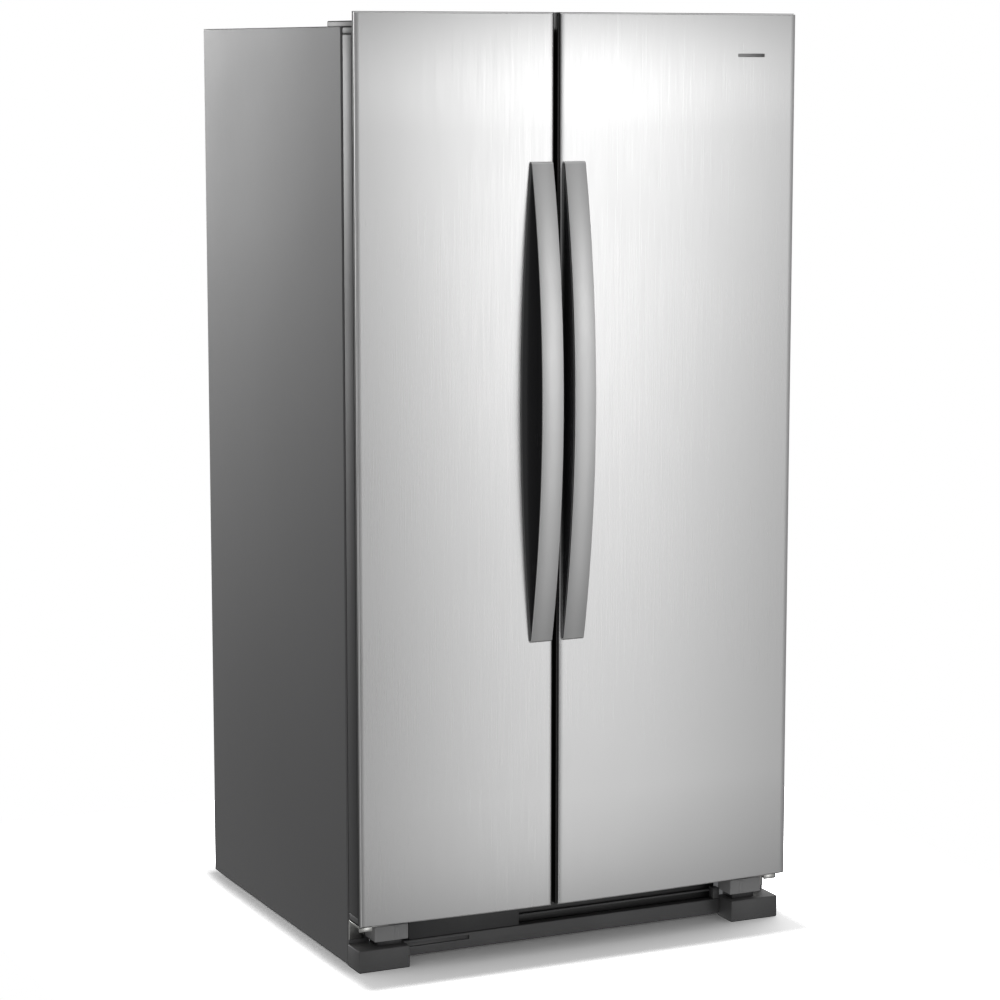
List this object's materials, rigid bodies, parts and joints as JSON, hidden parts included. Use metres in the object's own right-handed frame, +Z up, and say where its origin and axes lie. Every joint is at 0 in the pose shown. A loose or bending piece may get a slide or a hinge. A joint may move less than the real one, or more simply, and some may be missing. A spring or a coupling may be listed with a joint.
{
  "type": "side by side refrigerator",
  "caption": "Free-standing side by side refrigerator with brushed steel bowed doors, dark grey cabinet, bowed strip handles, drawers and shelves.",
  "frame": {"origin": "on the floor, under the middle of the object's box", "axes": "+Z up, the doors and handles face -Y, +X towards the fresh food side"},
  "size_m": [0.9, 0.87, 1.7625],
  "materials": {
    "grey_paint": "satin",
    "galvanised": "satin",
    "foam": "matte",
    "white_liner": "satin",
    "stainless": "satin",
    "black_trim": "satin",
    "door_grey": "satin",
    "dark_handle": "gloss",
    "dark_plastic": "satin",
    "clear_plastic": "gloss",
    "shelf_glass": "gloss",
    "gasket_rubber": "matte",
    "zinc_steel": "polished",
    "black_enamel": "gloss",
    "aluminium": "satin"
  },
  "bodies": {
    "cabinet": {"cabinet_side_left": "grey_paint", "cabinet_side_right": "grey_paint", "cabinet_top": "grey_paint", "cabinet_back": "galvanised", "cabinet_foam": "foam", "freezer_liner": "white_liner", "fridge_liner": "white_liner", "mullion_strip": "grey_paint", "base_pan": "galvanised", "machine_cover": "galvanised", "cord_gland": "black_trim", "compressor": "black_enamel", "condenser_coil": "black_enamel", "drain_pan": "dark_plastic", "evaporator_coil": "aluminium", "evaporator_cover": "white_liner", "control_housing": "white_liner", "lamp_lens": "clear_plastic", "toe_grille": "dark_plastic", "front_foot_left": "dark_plastic", "front_foot_right": "dark_plastic", "bottom_hinge_left": "zinc_steel", "bottom_hinge_right": "zinc_steel", "top_hinge_left": "zinc_steel", "top_hinge_right": "zinc_steel", "hinge_cover_left": "black_trim", "hinge_cover_right": "black_trim", "fridge_shelf_upper": "shelf_glass", "fridge_shelf_lower": "shelf_glass", "freezer_shelf_upper": "shelf_glass", "freezer_shelf_lower": "shelf_glass", "crisper_frame": "white_liner"},
    "freezer_door": {"freezer_door_panel": "stainless", "freezer_door_frame": "black_trim", "freezer_door_body": "door_grey", "freezer_door_liner": "white_liner", "freezer_gasket": "gasket_rubber", "freezer_bin": "clear_plastic", "freezer_handle_strip": "stainless", "freezer_handle_body": "dark_handle"},
    "fridge_door": {"fridge_door_panel": "stainless", "fridge_door_frame": "black_trim", "fridge_door_body": "door_grey", "fridge_door_liner": "white_liner", "fridge_gasket": "gasket_rubber", "fridge_bin_upper": "clear_plastic", "fridge_bin_lower": "clear_plastic", "fridge_handle_strip": "stainless", "fridge_handle_body": "dark_handle"},
    "crisper_drawer_upper": {"crisper_upper": "clear_plastic"},
    "crisper_drawer_lower": {"crisper_lower": "clear_plastic"},
    "freezer_drawer": {"freezer_basket": "white_liner"},
    "freezer_control": {"freezer_knob": "dark_plastic"},
    "fridge_control": {"fridge_knob": "dark_plastic"},
    "freezer_plunger": {"freezer_door_switch": "white_liner"},
    "fridge_plunger": {"fridge_door_switch": "white_liner"},
    "evaporator_rotor": {"evaporator_fan": "dark_plastic"},
    "condenser_rotor": {"condenser_fan": "dark_plastic"},
    "left_roller": {"roller_left": "dark_plastic"},
    "right_roller": {"roller_right": "dark_plastic"}
  },
  "joints": [
    {"name": "freezer_door_hinge", "type": "hinge", "parent": "cabinet", "child": "freezer_door", "pos_m": [-0.43, -0.33, 0.9], "axis": [0, 0, -1], "range_deg": [0, 120]},
    {"name": "fridge_door_hinge", "type": "hinge", "parent": "cabinet", "child": "fridge_door", "pos_m": [0.43, -0.33, 0.9], "axis": [0, 0, 1], "range_deg": [0, 120]},
    {"name": "crisper_upper_slide", "type": "slide", "parent": "cabinet", "child": "crisper_drawer_upper", "axis": [0, -1, 0], "range_m": [0, 0.25]},
    {"name": "crisper_lower_slide", "type": "slide", "parent": "cabinet", "child": "crisper_drawer_lower", "axis": [0, -1, 0], "range_m": [0, 0.25]},
    {"name": "freezer_basket_slide", "type": "slide", "parent": "cabinet", "child": "freezer_drawer", "axis": [0, -1, 0], "range_m": [0, 0.25]},
    {"name": "freezer_switch_travel", "type": "slide", "parent": "cabinet", "child": "freezer_plunger", "axis": [0, -1, 0], "range_m": [0, 0.006]},
    {"name": "fridge_switch_travel", "type": "slide", "parent": "cabinet", "child": "fridge_plunger", "axis": [0, -1, 0], "range_m": [0, 0.006]},
    {"name": "freezer_knob_turn", "type": "hinge", "parent": "cabinet", "child": "freezer_control", "pos_m": [0.105, -0.1783, 1.665], "axis": [0, -1, 0], "range_deg": [-135, 135]},
    {"name": "fridge_knob_turn", "type": "hinge", "parent": "cabinet", "child": "fridge_control", "pos_m": [0.265, -0.1783, 1.665], "axis": [0, -1, 0], "range_deg": [-135, 135]},
    {"name": "evaporator_fan_spin", "type": "hinge", "parent": "cabinet", "child": "evaporator_rotor", "pos_m": [-0.2445, 0.333, 1.045], "axis": [0, 1, 0], "continuous": true},
    {"name": "condenser_fan_spin", "type": "hinge", "parent": "cabinet", "child": "condenser_rotor", "pos_m": [0.06, 0.31, 0.135], "axis": [1, 0, 0], "continuous": true},
    {"name": "left_roller_spin", "type": "hinge", "parent": "cabinet", "child": "left_roller", "pos_m": [-0.4185, 0.365, 0.0165], "axis": [-1, 0, 0], "continuous": true},
    {"name": "right_roller_spin", "type": "hinge", "parent": "cabinet", "child": "right_roller", "pos_m": [0.4185, 0.365, 0.0165], "axis": [1, 0, 0], "continuous": true}
  ],
  "couplings": [
    {"joint": "crisper_upper_slide", "follows": "fridge_door_hinge", "m_per_rad": 0.1193},
    {"joint": "crisper_lower_slide", "follows": "fridge_door_hinge", "m_per_rad": 0.1193},
    {"joint": "freezer_basket_slide", "follows": "freezer_door_hinge", "m_per_rad": 0.1193},
    {"joint": "freezer_switch_travel", "follows": "freezer_door_hinge", "m_per_rad": 0.00286},
    {"joint": "fridge_switch_travel", "follows": "fridge_door_hinge", "m_per_rad": 0.00286}
  ]
}
